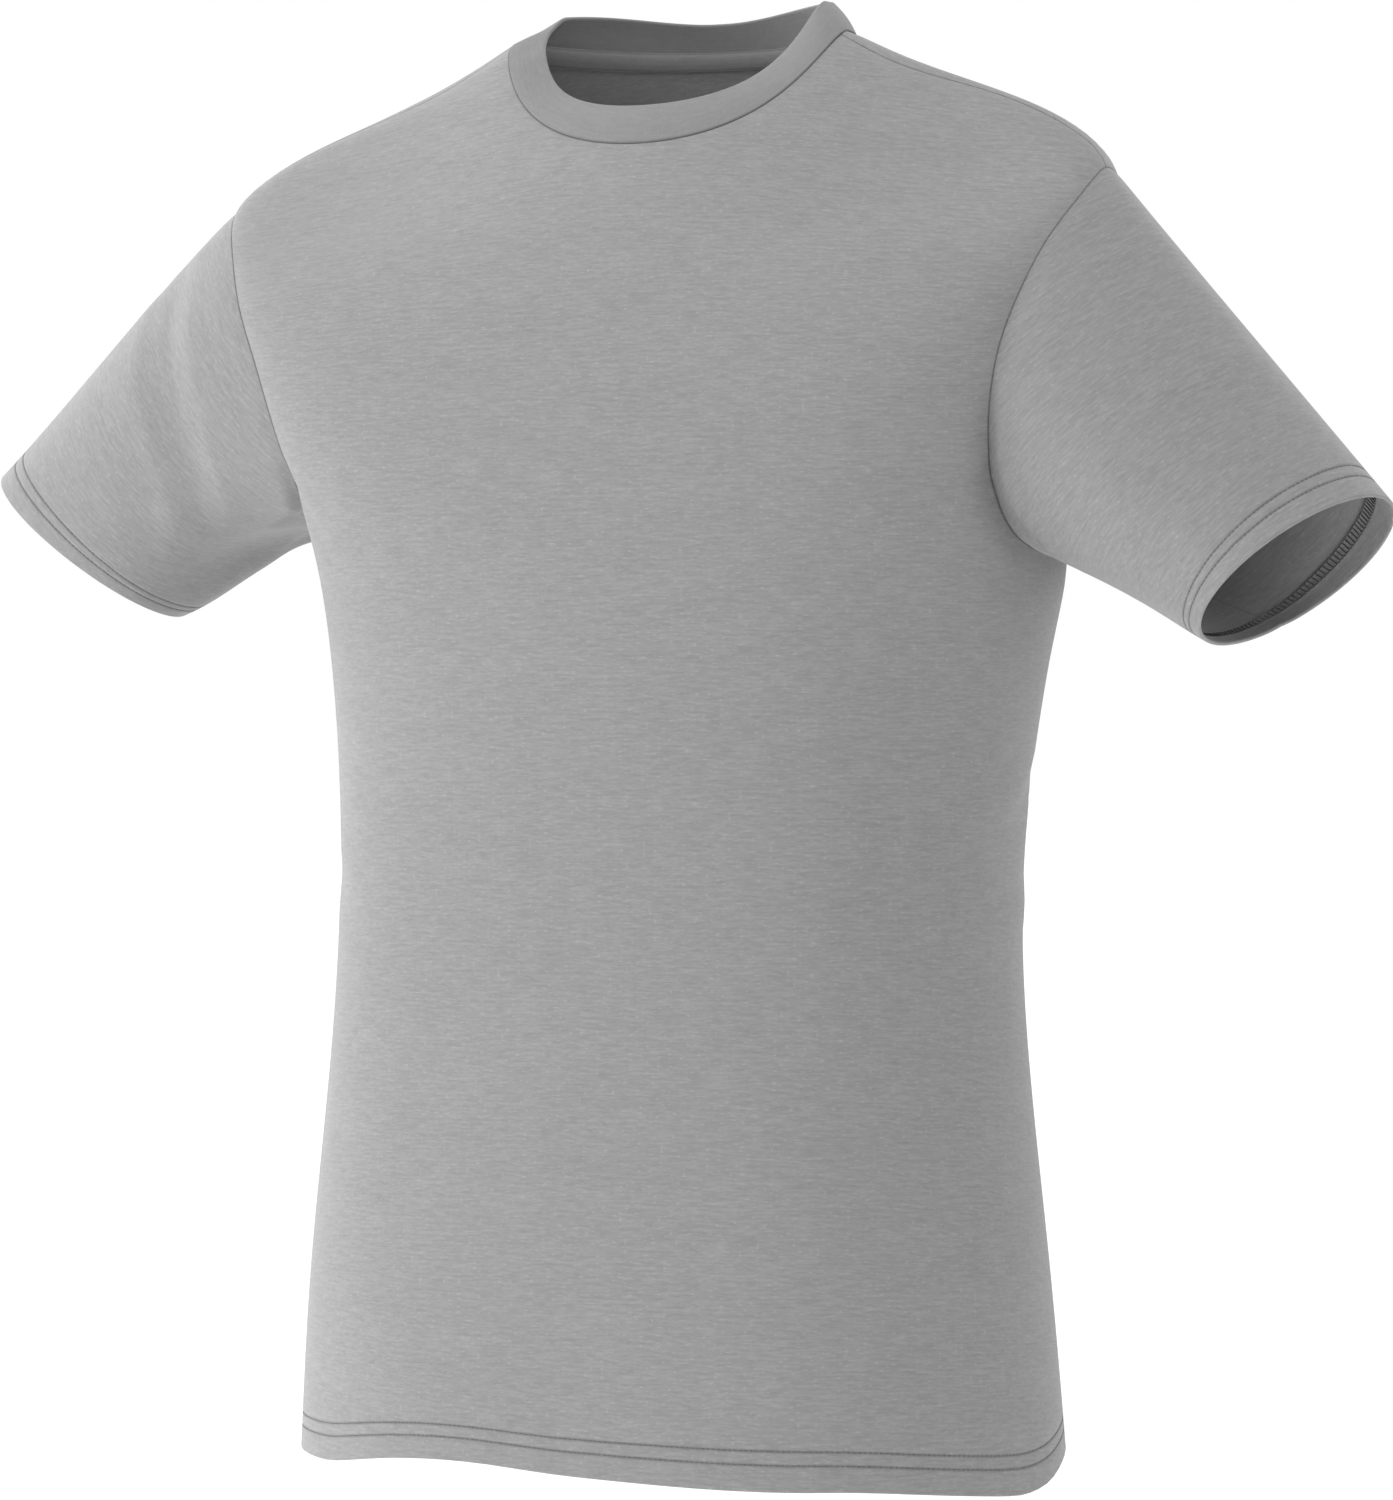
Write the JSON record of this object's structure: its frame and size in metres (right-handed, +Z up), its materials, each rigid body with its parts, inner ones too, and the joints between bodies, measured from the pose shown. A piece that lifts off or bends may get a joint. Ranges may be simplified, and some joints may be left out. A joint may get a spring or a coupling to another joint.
{
  "type": "crew neck t-shirt",
  "caption": "Short-sleeved crew neck T-shirt of knitted jersey in its worn, filled-out shape: hollow, and open at the neck, cuffs and hem.",
  "frame": {"origin": "midway between the points where the two shoulder seams reach the collar, where a wearer's shoulders carry the garment", "axes": "+Z up, the chest faces -Y, +X is the wearer's left"},
  "size_m": [0.7321, 0.2419, 0.7179],
  "materials": {
    "jersey": "matte",
    "rib": "matte",
    "tape": "matte"
  },
  "bodies": {
    "root": {"front": "jersey", "back": "jersey", "sleeve_left": "jersey", "sleeve_right": "jersey", "collar": "rib", "neck_tape": "tape"}
  },
  "joints": []
}
